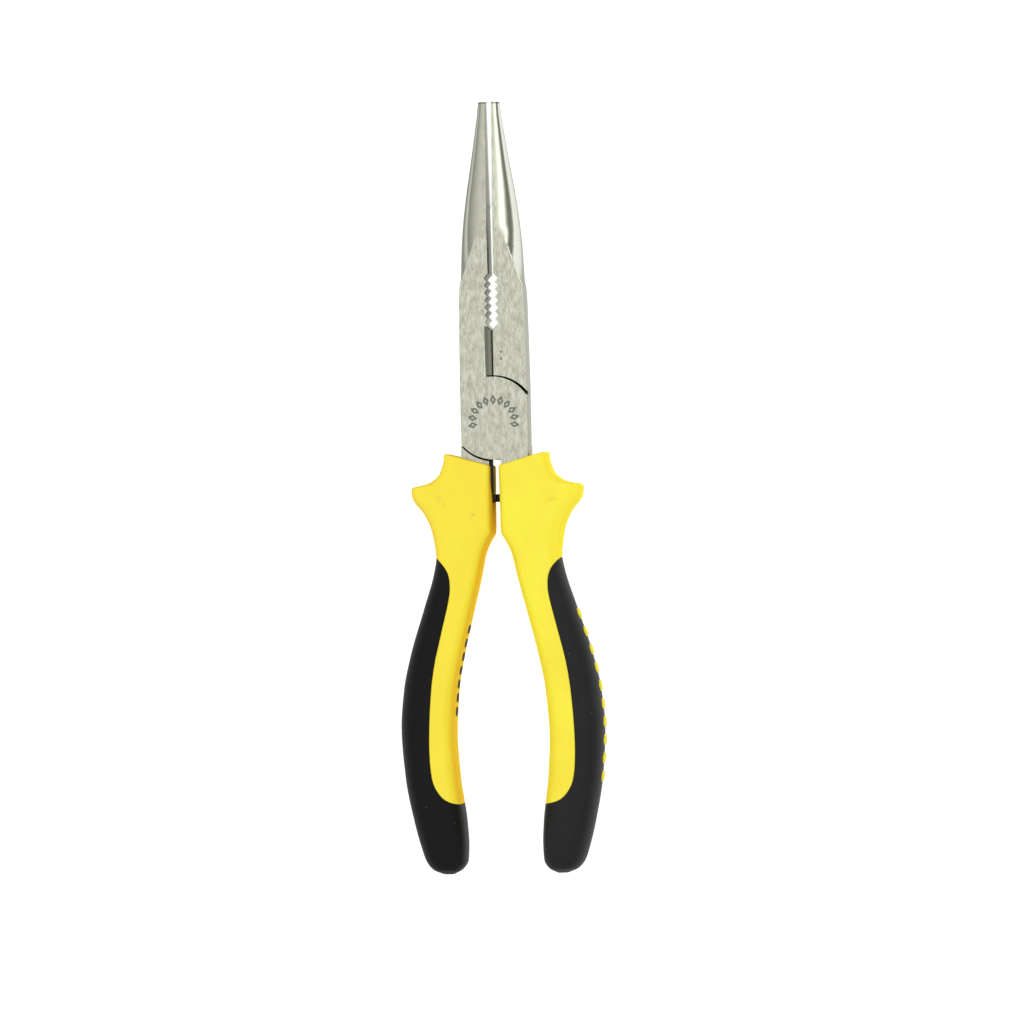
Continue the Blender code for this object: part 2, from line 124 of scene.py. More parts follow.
# Shapes as (y, value) pairs, joined by smooth curves. Distances are from the centre line, closed.
JAW_HALF_WIDTH = [(-12, 8.65), (8, 8.6), (24, 8.3), (38, 7.95), (45, 7.6), (50, 7.15), (57.5, 6.15),
                  (66, 4.7), (74, 3.4), (80, 2.5), (82.1, 2.3)]
NOSE_DEPTH = [(-12, 300), (29, 200), (32, 80), (34, 30), (36.4, 11.5), (39, 8.2), (42.3, 6.64),
              (46.3, 5.72), (49.4, 5.13), (51, 4.95), (58, 4.2), (66, 3.3), (74, 2.4), (82.1, 1.5)]
GRIP_OUTER = [(-7, 12.9), (-12.4, 13.2), (-13.2, 13.3), (-14.0, 14.0), (-14.4, 14.55), (-15.4, 15.6),
              (-16.25, 16.8), (-16.75, 18.0), (-17.1, 19.6), (-17.4, 21.2), (-17.8, 22.0),
              (-18.6, 22.1), (-20.2, 21.9), (-21.5, 21.3), (-24.1, 19.2), (-28, 17.3),
              (-31.9, 16.47), (-35.8, 16.08), (-39.6, 16.69), (-48.9, 19.46), (-61.4, 23.29),
              (-70, 25.1), (-80, 25.93), (-92.4, 25.1), (-104.8, 22.83), (-111, 21.19),
              (-114.8, 19.85), (-116.9, 18.06), (-117.9, 15.66)]
GRIP_INNER = [(-7, 0.95), (-29.5, 0.95), (-31.3, 1.87), (-34.4, 3.23), (-40.9, 4.64), (-50, 6.86),
              (-61.4, 9.54), (-70, 11.05), (-82, 11.78), (-92.4, 11.15), (-104.8, 9.53), (-110.5, 9.19),
              (-114.5, 9.35), (-116.8, 10.66), (-117.9, 12.66)]
GRIP_DEPTH = [(-7, 7.7), (-20, 8.0), (-26, 7.9), (-36, 6.7), (-50, 7.0), (-62, 7.5), (-76, 7.9),
              (-92, 7.8), (-108, 7.2), (-113.5, 6.5), (-116.6, 5.0), (-117.9, 2.6)]
PALM_SQUARENESS = [(-9, 7.0), (-15, 6.0), (-19, 3.8), (-28, 3.4), (-40, 2.7), (-117.9, 2.6)]
INNER_SQUARENESS = [(-9, 9.0), (-27, 8.0), (-37, 4.5), (-117.9, 3.6)]
TANG_CENTRE = [(-10, 5.05), (-17, 5.05), (-24, 5.8), (-35, 9.28), (-50, 13.11), (-60, 15.73),
               (-80, 18.58), (-98, 17.22)]
TANG_HALF_WIDTH = [(-10, 3.55), (-17, 3.55), (-24, 3.5), (-32, 3.3), (-40, 2.9), (-98, 2.4)]
TANG_HALF_DEPTH = [(-10, 4.95), (-24, 4.95), (-32, 3.7), (-40, 3.3), (-98, 3.0)]

# The line where the black overmould meets the yellow core, as (x, y) points of one smooth curve
OVERMOULD_LINE = [(17.28, -35.2), (15.08, -36.9), (12.99, -39.7), (12.39, -43), (12.8, -47),
                  (14.72, -55.1), (16.64, -63.4), (17.76, -72), (18.33, -84), (17.8, -92.4),
                  (16.21, -96.5), (13.52, -98.9), (9.22, -99.9), (7.72, -100.1)]

# How far the line lies further out than that on the left handle and on the right handle
OVERMOULD_SHIFTS = -0.4, 0.45

# Angles in degrees over which an edge shows as sharp
SHARP_STEEL, SHARP_PLASTIC, SHARP_OVERMOULD = 24, 35, 50

# How far a face's normal points up where the face lies level and shades flat
LEVEL_NORMAL = 0.9999

# Distance to a piece's outline that stands for far outside it
FAR_OUTSIDE = -9.0


# Curves


def smooth(points):
    """A function through the (y, value) points, cubic between them and never overshooting."""
    points = sorted(points)
    ys = [point[0] for point in points]
    values = [point[1] for point in points]
    steps = [b - a for a, b in zip(ys, ys[1:])]
    rises = [(b - a) / step for a, b, step in zip(values, values[1:], steps)]
    slopes = [rises[0]]
    for left, right, before, after in zip(rises, rises[1:], steps, steps[1:]):
        if left * right <= 0:
            slopes.append(0.0)
            continue
        first, second = 2 * after + before, after + 2 * before
        slopes.append((first + second) / (first / left + second / right))
    slopes.append(rises[-1])

    def value(y):
        y = min(max(y, ys[0]), ys[-1])
        i = max(k for k in range(len(steps)) if ys[k] <= y)
        t = (y - ys[i]) / steps[i]
        near = (1 + 2 * t) * (1 - t) ** 2 * values[i] + t * (1 - t) ** 2 * steps[i] * slopes[i]
        far = t * t * (3 - 2 * t) * values[i + 1] - t * t * (1 - t) * steps[i] * slopes[i + 1]
        return near + far

    return value


def through(points, steps):
    """A smooth curve through plan points (Catmull-Rom), with this many steps between two of them."""
    ends = [points[0], *points, points[-1]]
    curve = []
    for a, b, c, d in zip(ends, ends[1:], ends[2:], ends[3:]):
        for step in range(steps):
            t = step / steps
            curve.append(tuple(
                0.5 * (2 * q + (r - p) * t + (2 * p - 5 * q + 4 * r - s) * t * t
                       + (3 * q - p - 3 * r + s) * t ** 3)
                for p, q, r, s in zip(a, b, c, d)
            ))
    return curve + [points[-1]]


def arc(radius, start, end, steps, last_radius=None):
    """Points round the pivot, from one angle in degrees to another, on a circle or a slow spiral."""
    grow = (last_radius or radius) - radius
    points = []
    for k in range(steps + 1):
        angle = math.radians(start + (end - start) * k / steps)
        reach = radius + grow * k / steps
        points.append((reach * math.cos(angle), reach * math.sin(angle)))
    return points


def spread(start, end, step):
    """Values from start to end, both included, about this far apart."""
    count = max(1, round(abs(end - start) / step))
    return [start + (end - start) * k / count for k in range(count + 1)]


def evenly(ring, count):
    """The closed ring again, with this many points the same distance apart."""
    points = np.array(ring + ring[:1])
    along = np.concatenate([[0.0], np.cumsum(np.linalg.norm(np.diff(points, axis=0), axis=1))])
    places = np.linspace(0.0, along[-1], count, endpoint=False)
    return np.stack([np.interp(places, along, points[:, axis]) for axis in range(3)], axis=1)


jaw_half_width, nose_depth = smooth(JAW_HALF_WIDTH), smooth(NOSE_DEPTH)
grip_outer, grip_inner, grip_depth = smooth(GRIP_OUTER), smooth(GRIP_INNER), smooth(GRIP_DEPTH)
tang_centre, tang_half_width = smooth(TANG_CENTRE), smooth(TANG_HALF_WIDTH)
tang_half_depth = smooth(TANG_HALF_DEPTH)
palm_squareness, inner_squareness = smooth(PALM_SQUARENESS), smooth(INNER_SQUARENESS)


# Meshes


def loft_mesh(rings):
    """A bmesh through rings of points, closed at both ends."""
    mesh = bmesh.new()
    rows = [[mesh.verts.new([float(value) for value in point]) for point in ring] for ring in rings]
    for row, after in zip(rows, rows[1:]):
        for k in range(len(row)):
            following = (k + 1) % len(row)
            mesh.faces.new((row[k], row[following], after[following], after[k]))
    mesh.faces.new(rows[0])
    mesh.faces.new(rows[-1])
    bmesh.ops.recalc_face_normals(mesh, faces=mesh.faces)
    return mesh


def add_object(name, data):
    obj = bpy.data.objects.new(name, data)
    bpy.context.scene.collection.objects.link(obj)
    return obj


def store(mesh, data):
    mesh.to_mesh(data)
    mesh.free()


def to_object(name, mesh):
    data = bpy.data.meshes.new(name)
    store(mesh, data)
    return add_object(name, data)


def loft(name, rings):
    return to_object(name, loft_mesh(rings))


def prism(name, outline, bottom, top):
    return loft(name, [[(x, y, z) for x, y in outline] for z in (bottom, top)])


def box(name, low, high):
    corners = [(low[0], low[1]), (high[0], low[1]), (high[0], high[1]), (low[0], high[1])]
    return prism(name, corners, low[2], high[2])


def turned(name, profile, sides=144):
    """A solid turned about the pivot axis from (radius, z) points."""
    angles = [2 * math.pi * k / sides for k in range(sides)]
    rings = [[(r * math.cos(angle), r * math.sin(angle), z) for angle in angles] for r, z in profile]
    return loft(name, rings)


def combine(target, tool, operation):
    """Applies one exact Boolean to the target and removes the tool."""
    modifier = target.modifiers.new(operation, "BOOLEAN")
    modifier.operation = operation
    modifier.solver = "EXACT"
    modifier.object = tool
    graph = bpy.context.evaluated_depsgraph_get()
    before = target.data
    target.data = bpy.data.meshes.new_from_object(target.evaluated_get(graph))
    target.modifiers.clear()
    target.data.name = target.name
    bpy.data.meshes.remove(before)
    bpy.data.objects.remove(tool, do_unlink=True)
    return target


def without_slivers(obj, distance):
    """The object's mesh as a bmesh, with points joined that lie almost on top of each other."""
    mesh = bmesh.new()
    mesh.from_mesh(obj.data)
    bmesh.ops.remove_doubles(mesh, verts=mesh.verts, dist=distance)
    bmesh.ops.dissolve_degenerate(mesh, edges=mesh.edges, dist=distance)
    return mesh


def install(obj, body, node, material, sharp_angle):
    """Turns a drawn piece to its place at rest, gives it its finish and lets it ride on its body."""
    store(without_slivers(obj, 0.001), obj.data)
    obj.data.transform(PLACES[body] @ Matrix.Scale(MM, 4))
    obj.data.materials.clear()
    obj.data.materials.append(material)
    obj.data.shade_smooth()
    obj.data.set_sharp_from_angle(angle=math.radians(sharp_angle))
    for face in obj.data.polygons:
        face.use_smooth = abs(face.normal.z) < LEVEL_NORMAL
    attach(obj, body)
    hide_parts(node)


# Lever


def fine_teeth():
    """The cross serrations on the gripping face, from the tip down, where only the tips meet."""
    points = []
    for k in range(FINE_TEETH):
        peak = FACE_GAP + FACE_HOLLOW * min(1.0, k * FINE_TOOTH_PITCH / HOLLOW_LENGTH)
        points.append((peak, TIP_Y - k * FINE_TOOTH_PITCH))
        points.append((peak + FINE_TOOTH_DEPTH, TIP_Y - (k + 0.5) * FINE_TOOTH_PITCH))
    return points + [(FACE_GAP + FACE_HOLLOW, FINE_TEETH_BOTTOM)]


def pipe_teeth():
    """The coarse teeth of the round-stock grip, valley, peak, valley and so on."""
    points = [(JAW_RELIEF, PIPE_TOP)]
    for k in range(PIPE_TEETH):
        valley = PIPE_FIRST_VALLEY - k * PIPE_PITCH
        if k:
            points.append((PIPE_PEAK_X, valley + PIPE_PITCH / 2))
        points.append((PIPE_VALLEY_X, valley))
    return points + [(FACE_GAP, CUTTER_TOP)]


def head_outline():
    """Plan of the head. Its right side is left wide, because the nose envelope trims it."""
    side = math.degrees(math.acos(HALF_JOINT_WIDTH / PLATE_CORNER_RADIUS))
    wide = PLATE_RADIUS - 0.2
    low = math.degrees(math.acos(wide / PLATE_RADIUS))
    relief = [(JAW_RELIEF, FINE_TEETH_BOTTOM - RELIEF_SLOPE)]
    inner = fine_teeth() + relief + pipe_teeth()
    plate_top = arc(PLATE_RADIUS, 90, 180 - side, 40, PLATE_CORNER_RADIUS)
    tang_root = [(-HALF_JOINT_WIDTH, TANG_ROOT_Y), (-TANG_INNER_X, TANG_ROOT_Y)]
    root = math.degrees(math.asin(TANG_INNER_X / PLATE_BOTTOM_RADIUS))
    plate_bottom = arc(PLATE_BOTTOM_RADIUS, 270 - root, 360 - low, 64, PLATE_RADIUS)
    past_tip = TIP_Y + 1.0
    right = [(wide, 20.0), (wide, past_tip), (FACE_GAP, past_tip)]
    return inner + plate_top + tang_root + plate_bottom + right


def nose_ring(y):
    """Half-round section of the jaw at y, open to the side of the gripping face."""
    half_width, depth = jaw_half_width(y), nose_depth(y)
    clear = HALF_THICKNESS + 1.0
    reach = math.asin(min(1.0, clear / depth))
    open_side = -30.0
    ring = [(open_side, y, -depth * math.sin(reach))]
    for k in range(NOSE_POINTS + 1):
        angle = reach * (2 * k / NOSE_POINTS - 1)
        ring.append((half_width * math.cos(angle), y, depth * math.sin(angle)))
    return ring + [(open_side, y, depth * math.sin(reach))]


def nose_envelope():
    stations = NOSE_STATIONS + spread(29.0, 50.0, 0.5) + spread(51.0, TIP_Y, 1.0)
    return loft("nose_envelope", [nose_ring(y) for y in stations])


def cutter_bevel(name, bevel, sign):
    """Wedge of two slopes that sharpens the jaw, from one face down to the edge on the mid plane."""
    low, high = PLATE_RADIUS - 0.05, CUTTER_TOP + 0.9
    tall, knee = HALF_THICKNESS + 0.5, HALF_THICKNESS - CUTTER_KNEE_DEPTH
    near = FACE_GAP + CUTTER_KNEE_SHARE * bevel
    reach = near + (1 - CUTTER_KNEE_SHARE) * bevel * (tall - knee) / CUTTER_KNEE_DEPTH
    edge, beyond = 0.02, -1.0
    section = [(FACE_GAP, edge * sign), (near, knee * sign), (reach, tall * sign),
               (beyond, tall * sign), (beyond, edge * sign)]
    return loft(name, [[(x, y, z) for x, z in section] for y in (low, high)])


def tang(name, top, grow=0.0):
    rings = []
    for y in [top] + TANG_STATIONS + spread(-35.0, TANG_END_Y - grow, 4.0):
        centre, half = -tang_centre(y), tang_half_width(y) + grow
        deep = tang_half_depth(y) + grow
        rings.append([(centre - half, y, -deep), (centre + half, y, -deep),
                      (centre + half, y, deep), (centre - half, y, deep)])
    return loft(name, rings)


def lug(name, grow=0.0):
    """Stop lug on the tang, which meets the other lever's lug when the pliers close."""
    low = (LUG_ROOT_X, LUG_BOTTOM - grow, -LUG_HALF_DEPTH - grow)
    return box(name, low, (grow - FACE_GAP, LUG_TOP + grow, LUG_HALF_DEPTH + grow))


def rivet_profile(grow):
    """The rivet's outline or, grown and past both faces, the outline of the hole for it."""
    rim = HALF_THICKNESS + (1.0 if grow else 0.0)
    slope = (RIVET_HEAD_RADIUS - RIVET_SHANK_RADIUS) / RIVET_HEAD_DEPTH
    head = RIVET_HEAD_RADIUS + grow + slope * (rim - HALF_THICKNESS)
    neck = HALF_THICKNESS - RIVET_HEAD_DEPTH
    shank = RIVET_SHANK_RADIUS + grow
    return [(head, -rim), (shank, -neck), (shank, neck), (head, rim)]


def round_face_edges(obj):
    """Rounds the edges round the two ground faces of a lever."""
    mesh = without_slivers(obj, 0.004)
    level = HALF_THICKNESS - 0.002
    edges = [
        edge for edge in mesh.edges
        if len(edge.link_faces) == 2 and edge.calc_face_angle() > math.radians(25)
        and all(abs(vert.co.z) > level for vert in edge.verts)
    ]
    bmesh.ops.bevel(mesh, geom=edges, offset=EDGE_ROUNDING, segments=2, profile=0.6,
                    affect="EDGES", clamp_overlap=False)
    store(mesh, obj.data)


def lever(name):
    """One forged lever: jaw at +X, lap plate in the back layer, tang at -X."""
    body = prism(name, head_outline(), -HALF_THICKNESS, HALF_THICKNESS)
    combine(body, nose_envelope(), "INTERSECT")
    recess = [(RECESS_RADIUS, -LAP_GAP / 2), (RECESS_RADIUS, RECESS_TOP)]
    combine(body, turned("recess", recess, sides=288), "DIFFERENCE")
    combine(body, cutter_bevel("back_bevel", BACK_CUTTER_BEVEL, -1), "DIFFERENCE")
    combine(body, cutter_bevel("front_bevel", FRONT_CUTTER_BEVEL, 1), "DIFFERENCE")
    round_face_edges(body)
    combine(body, tang("tang", TANG_TOP_Y), "UNION")
    combine(body, lug("lug"), "UNION")
    combine(body, turned("rivet_hole", rivet_profile(RIVET_FIT)), "DIFFERENCE")
    return body


def punch_mark(x, y):
    """The cone that a punch leaves in the front face, as a tool that cuts it."""
    profile = [(0.02, HALF_THICKNESS - PUNCH_DEPTH), (PUNCH_RADIUS, HALF_THICKNESS + 0.03)]
    cone = turned("punch", profile, sides=20)
    cone.data.transform(Matrix.Translation((x, y, 0.0)))
    return cone


# Grip


def section(y, inset=0.0, slope=0.0):
    """Rounded section of a handle: flatter towards the other handle, rounder on the palm side."""
    outer, inner = grip_outer(y) - inset, grip_inner(y) + inset
    centre, half = (outer + inner) / 2, (outer - inner) / 2
    deep = grip_depth(y) - inset
    flat = GRIP_HALF_THICKNESS - inset
    powers = 2 / inner_squareness(y), 2 / palm_squareness(y)
    ring = []
    for k in range(SECTION_STEPS):
        angle = 2 * math.pi * k / SECTION_STEPS
        across, up = math.cos(angle), math.sin(angle)
        power = powers[across > 0]
        x = centre + half * math.copysign(abs(across) ** power, across)
        z = deep * math.copysign(abs(up) ** power, up)
        ring.append((-x, y + slope * (x - inner), max(-flat, min(flat, z))))
    return evenly(ring, RING_POINTS)


def grip_surface():
    """The whole outside of a grip, with rounded ends, as a bmesh."""
    rings = []
    for degrees in (81, 63, 45, 27, 9):
        angle = math.radians(degrees)
        rings.append(section(COLLAR_MOUTH_Y - COLLAR_ROUNDING * (1 - math.sin(angle)),
                             COLLAR_ROUNDING * (1 - math.cos(angle)), COLLAR_SLOPE))
    rings += [section(y, slope=share * COLLAR_SLOPE) for y, share in COLLAR_SLOPE_SHARES]
    stations = spread(-14.4, -23.0, 0.3) + spread(-23.5, -38.0, 0.6) + spread(-38.7, -109.0, 0.75)
    stations += spread(-109.5, -116.0, 0.45) + spread(-116.2, END_Y, 0.2)
    rings += [section(y) for y in stations]
    rings.append(section(END_Y, inset=0.3))
    return loft_mesh(rings)


def region_field(points, region):
    """Signed distance in plan from a closed outline, positive inside it."""
    x, y = points[:, 0], points[:, 1]
    nearest = np.full(len(points), 1e9)
    inside = np.zeros(len(points), bool)
    for (ax, ay), (bx, by) in zip(region, region[1:] + region[:1]):
        dx, dy = bx - ax, by - ay
        share = np.clip(((x - ax) * dx + (y - ay) * dy) / (dx * dx + dy * dy + 1e-12), 0, 1)
        nearest = np.minimum(nearest, np.hypot(x - ax - share * dx, y - ay - share * dy))
        if ay != by:
            crossing = (ay > y) != (by > y)
            inside ^= crossing & (x < ax + dx * (y - ay) / dy)
    return np.where(inside, nearest, -nearest)


def across_handle(y, surface, step=1.0):
    """The place of a handle's surface at y and the angle that it leans there, in radians."""
    return surface(y), math.atan2(surface(y + step) - surface(y - step), 2 * step)


def pad_field(points):
    """Signed distance from the nearest pad's outline on the palm side, positive inside it."""
    best = np.full(len(points), FAR_OUTSIDE)
    corner = (PAD_LENGTH - END_FLAT) / 2
    for k in range(PADS):
        y = PAD_TOP - k * PAD_PITCH
        x, lean = across_handle(y, grip_outer)
        along = (points[:, 1] - y) * math.cos(lean) - (points[:, 0] + x) * math.sin(lean)
        side = np.abs(along) - (PAD_LENGTH / 2 - corner)
        end = np.abs(points[:, 2]) - (PAD_HEIGHT / 2 - corner)
        outside = np.hypot(np.maximum(side, 0), np.maximum(end, 0))
        distance = corner - outside - np.minimum(np.maximum(side, end), 0)
        best = np.maximum(best, distance)
    palm_side = np.array([-x > (grip_outer(y) + grip_inner(y)) / 2 for x, y in points[:, :2]])
    return np.where(palm_side, best, FAR_OUTSIDE)


def overmould_field(points, pads):
    """Positive where the surface is black, with its distance from the edge of the black."""
    shift = OVERMOULD_SHIFTS[pads]
    line = [(-x - shift, y) for x, y in through(OVERMOULD_LINE, 6)]
    beyond, outside = -130.0, -40.0
    region = line + [(0.0, line[-1][1]), (0.0, beyond), (outside, beyond), (outside, line[0][1])]
    field = region_field(points, region)
    return np.minimum(field, -pad_field(points)) if pads else field


def coordinates(mesh):
    return np.array([vert.co[:] for vert in mesh.verts])


def cut_along(mesh, field, level, snap=0.03):
    """Adds edges to the mesh along the line where the field has this value."""
    mesh.verts.ensure_lookup_table()
    values = field(coordinates(mesh)) - level
    values[np.abs(values) < snap] = 0.0
    value = {vert: values[k] for k, vert in enumerate(mesh.verts)}
    for edge in list(mesh.edges):
        a, b = edge.verts
        if value[a] * value[b] < 0:
            _, vert = bmesh.utils.edge_split(edge, a, value[a] / (value[a] - value[b]))
            value[vert] = 0.0
    for face in list(mesh.faces):
        signs = {math.copysign(1, value[vert]) for vert in face.verts if value[vert]}
        on_line = [vert for vert in face.verts if not value[vert]]
        if len(signs) == 2 and len(on_line) == 2:
            bmesh.utils.face_split(face, *on_line)


def seam_profile(distance):
    """How far the surface is sunk, at this distance from the edge between the colours."""
    share = np.clip(1 - np.abs(distance) / SEAM_WIDTH, 0, 1)
    return SEAM_DEPTH * share * share


def split_grip(pads):
    """The grip's surface as a bmesh cut along the seams, with the set of its black faces."""
    mesh = grip_surface()

    def field(points):
        return overmould_field(points, pads)

    for level in (0.0, -SEAM_WIDTH, SEAM_WIDTH, -SEAM_WIDTH / 2, SEAM_WIDTH / 2):
        cut_along(mesh, field, level)
    points = coordinates(mesh)
    distance = field(points)
    lift = -seam_profile(distance)
    if pads:
        inside = np.clip(pad_field(points) / SEAM_WIDTH, 0, 1)
        lift += (PAD_PROUD + SEAM_DEPTH) * inside * (2 - inside) * (inside > 0)
    mesh.normal_update()
    for vert, step in zip(mesh.verts, lift):
        vert.co += vert.normal * float(step)
    centres = np.array([face.calc_center_median()[:] for face in mesh.faces])
    black = {face for face, value in zip(list(mesh.faces), field(centres)) if value > 0}
    return mesh, black


def sort_faces(mesh):
    """Puts the faces of a bmesh in order of place, so that each run gives the same mesh."""
    faces = sorted(mesh.faces, key=lambda face: face.calc_center_median()[:])
    ranks = {face: rank for rank, face in enumerate(faces)}
    mesh.faces.sort(key=ranks.get)


def grip_core(name, pads):
    """The yellow core: the surface, sunk where the black overmould covers it."""
    mesh, black = split_grip(pads)
    made = bmesh.ops.extrude_face_region(mesh, geom=list(black))["geom"]
    bmesh.ops.delete(mesh, geom=[face for face in black if face.is_valid], context="FACES_ONLY")
    mesh.normal_update()
    for vert in [item for item in made if isinstance(item, bmesh.types.BMVert)]:
        vert.co -= vert.normal * (OVERMOULD_DEPTH + OVERMOULD_BACK_GAP)
    bmesh.ops.recalc_face_normals(mesh, faces=mesh.faces)
    sort_faces(mesh)
    core = to_object(name, mesh)
    combine(core, tang("cavity", CAVITY_TOP_Y, TANG_FIT), "DIFFERENCE")
    combine(core, notch(), "DIFFERENCE")
    combine(core, lug("lug_slot", TANG_FIT), "DIFFERENCE")
    return core


def overmould(name, pads):
    """The black overmould: a shell with windows for the pads."""
    mesh, black = split_grip(pads)
    bmesh.ops.delete(mesh, geom=[face for face in mesh.faces if face not in black], context="FACES")
    bmesh.ops.solidify(mesh, geom=list(mesh.faces), thickness=OVERMOULD_DEPTH)
    bmesh.ops.recalc_face_normals(mesh, faces=mesh.faces)
    sort_faces(mesh)
    return to_object(name, mesh)


def notch():
    """U-shaped opening in the collar's inner wall, which shows the tang."""
    width, deep = NOTCH_HALF_WIDTH, NOTCH_SHOULDER - NOTCH_BOTTOM
    bow = [math.radians(180 + 4.5 * k) for k in range(41)]
    outline = [(width * math.cos(angle), NOTCH_SHOULDER + deep * math.sin(angle)) for angle in bow]
    outline += [(width, 0.0), (-width, 0.0)]
    return loft("notch", [[(x, y, z) for z, y in outline] for x in (-TANG_INNER_X - 1.0, 2.0)])


def rib(name, k):
    """Rubber rib number k on the side of the handle that faces the other handle, with a round top."""
    y = RIB_TOP - k * RIB_PITCH
    x, lean = across_handle(y, grip_inner)
    corner = (RIB_LENGTH - END_FLAT) / 2
    rings = []
    for depth, inset in RIB_PROFILE:
        ring = []
        for start, side_y, side_z in ((0, 1, 1), (90, -1, 1), (180, -1, -1), (270, 1, -1)):
            for step in range(9):
                angle = math.radians(start + 11.25 * step)
                reach = corner - inset
                along = side_y * (RIB_LENGTH / 2 - corner) + reach * math.cos(angle)
                up = side_z * (RIB_HEIGHT / 2 - corner) + reach * math.sin(angle)
                ring.append((-(x - depth * math.cos(lean) + along * math.sin(lean)),
                             y + along * math.cos(lean) + depth * math.sin(lean), up))
        rings.append(ring)
    return loft(name, rings)


# Materials


class Nodes:
    """A node tree, with short ways to add and join its nodes."""

    def __init__(self, tree):
        self.tree = tree

    def add(self, kind, **settings):
        node = self.tree.nodes.new(kind)
        for key, value in settings.items():
            setattr(node, key, value)
        return node

    def feed(self, socket, value):
        """Joins a socket to another node's output, or gives it a plain value."""
        if isinstance(value, bpy.types.NodeSocket):
            self.tree.links.new(value, socket)
        else:
            socket.default_value = value

    def maths(self, operation, *values):
        node = self.add("ShaderNodeMath", operation=operation)
        for socket, value in zip(node.inputs, values):
            self.feed(socket, value)
        return node.outputs[0]

    def product(self, first, *others):
        for other in others:
            first = self.maths("MULTIPLY", first, other)
        return first

    def blend(self, first, second, share):
        """The first value with this share and the second with the rest."""
        return self.maths("ADD", self.product(first, share), self.product(second, 1 - share))

    def away(self, value, middle):
        """How far the value is from the middle."""
        return self.maths("ABSOLUTE", self.maths("SUBTRACT", value, middle))

    def length(self, x, y):
        squares = self.maths("ADD", self.product(x, x), self.product(y, y))
        return self.maths("POWER", squares, 0.5)

    def split(self, vector):
        node = self.add("ShaderNodeSeparateXYZ")
        self.feed(node.inputs[0], vector)
        return node.outputs

    def between(self, value, low, high, start=0.0, end=1.0):
        """A smooth step from start to end, where the value goes from low to high."""
        node = self.add("ShaderNodeMapRange", interpolation_type="SMOOTHSTEP")
        for socket, number in zip(node.inputs, (value, low, high, start, end)):
            self.feed(socket, number)
        return node.outputs[0]


class Finish(Nodes):
    """A material of the pliers, with patterns measured in millimetres."""

    def __init__(self, name, metallic=0.0):
        self.material = bpy.data.materials.new(name)
        self.material.use_nodes = True
        super().__init__(self.material.node_tree)
        self.shader = self.tree.nodes["Principled BSDF"]
        self.shader.inputs["Metallic"].default_value = metallic
        place = self.add("ShaderNodeTexCoord").outputs["Object"]
        self.place = self.stretched(place, (1 / MM, 1 / MM, 1 / MM))

    def stretched(self, vector, factors):
        node = self.add("ShaderNodeVectorMath", operation="MULTIPLY")
        self.feed(node.inputs[0], vector)
        self.feed(node.inputs[1], factors)
        return node.outputs[0]

    def level(self):
        """1 where the surface lies flat like the floor, 0 where it stands upright."""
        normal = self.add("ShaderNodeNewGeometry").outputs["Normal"]
        return self.maths("ABSOLUTE", self.split(normal)[2])

    def noise(self, stretch, detail=2.0, rough=0.5):
        """Noise with this many grains per millimetre along each axis."""
        node = self.add("ShaderNodeTexNoise")
        self.feed(node.inputs["Vector"], self.stretched(self.place, stretch))
        node.inputs["Scale"].default_value = 1.0
        node.inputs["Detail"].default_value = detail
        node.inputs["Roughness"].default_value = rough
        return node.outputs["Fac"]

    def mix(self, share, first, second):
        node = self.add("ShaderNodeMix", data_type="RGBA")
        self.feed(node.inputs["Factor"], share)
        for socket, colour in zip(node.inputs[6:8], (first, second)):
            self.feed(socket, (*colour, 1.0) if isinstance(colour, tuple) else colour)
        return node.outputs[2]

    def specks(self, per_mm, size, kept):
        """Round specks on a jittered lattice, of which this share is kept."""
        node = self.add("ShaderNodeTexVoronoi")
        self.feed(node.inputs["Vector"], self.place)
        node.inputs["Scale"].default_value = per_mm
        chosen = self.maths("LESS_THAN", self.split(node.outputs["Color"])[0], kept)
        return self.product(self.between(node.outputs["Distance"], size, 0.6 * size), chosen)

    def bump(self, height, depth):
        """Bumps of this height in millimetres where the input goes from 0 to 1."""
        node = self.add("ShaderNodeBump")
        node.inputs["Strength"].default_value = 1.0
        node.inputs["Distance"].default_value = depth * MM
        self.feed(node.inputs["Height"], height)
        self.feed(self.shader.inputs["Normal"], node.outputs[0])

    def set(self, **inputs):
        for name, value in inputs.items():
            self.feed(self.shader.inputs[name.replace("_", " ")], value)
        return self.material


# Steel: pairs of a dark and a light tone, then the colours that are laid over them
GROUND_TONES = (0.335, 0.335, 0.26), (0.55, 0.555, 0.465)
POLISHED_TONES = (0.455, 0.46, 0.375), (0.495, 0.5, 0.41)
# Painted highlight on the outer sides that slope away, then painted shade on the steep sides, the left
# ones most
PAINTED_SIDE_HIGHLIGHT, PAINTED_SIDE_SHADE = (0.64, 0.65, 0.58), (0.16, 0.16, 0.13)
# The first is painted shade in the lap joint's slot, near black and without metal; the second is grime
# at the tip
JOINT_SHADE, TIP_GRIME = (0.012, 0.012, 0.010), (0.06, 0.06, 0.04)
# Painted shade in the valleys of the fine teeth and a painted highlight on their peaks
TOOTH_VALLEY_SHADE, TOOTH_PEAK_HIGHLIGHT = (0.03, 0.03, 0.025), (1.0, 1.0, 0.9)
STEEL_SPOT, ETCHED = (0.12, 0.11, 0.06), (0.10, 0.105, 0.075)
STEEL_SHEEN = (0.6, 0.6, 0.55, 1.0)
SLIT_HALF_WIDTH, GRIPPING_REACH, LAPPED_RADIUS = 3.0, 1.15, 9.6

# The etched arc: its centre, and the size and the angle in degrees of its lozenges
MARK_CENTRE = (-0.1, -0.7)
MARK_RADIUS, MARK_HEIGHT, MARK_WIDTH, MARK_STEP = 5.5, 1.4, 0.85, 20.0


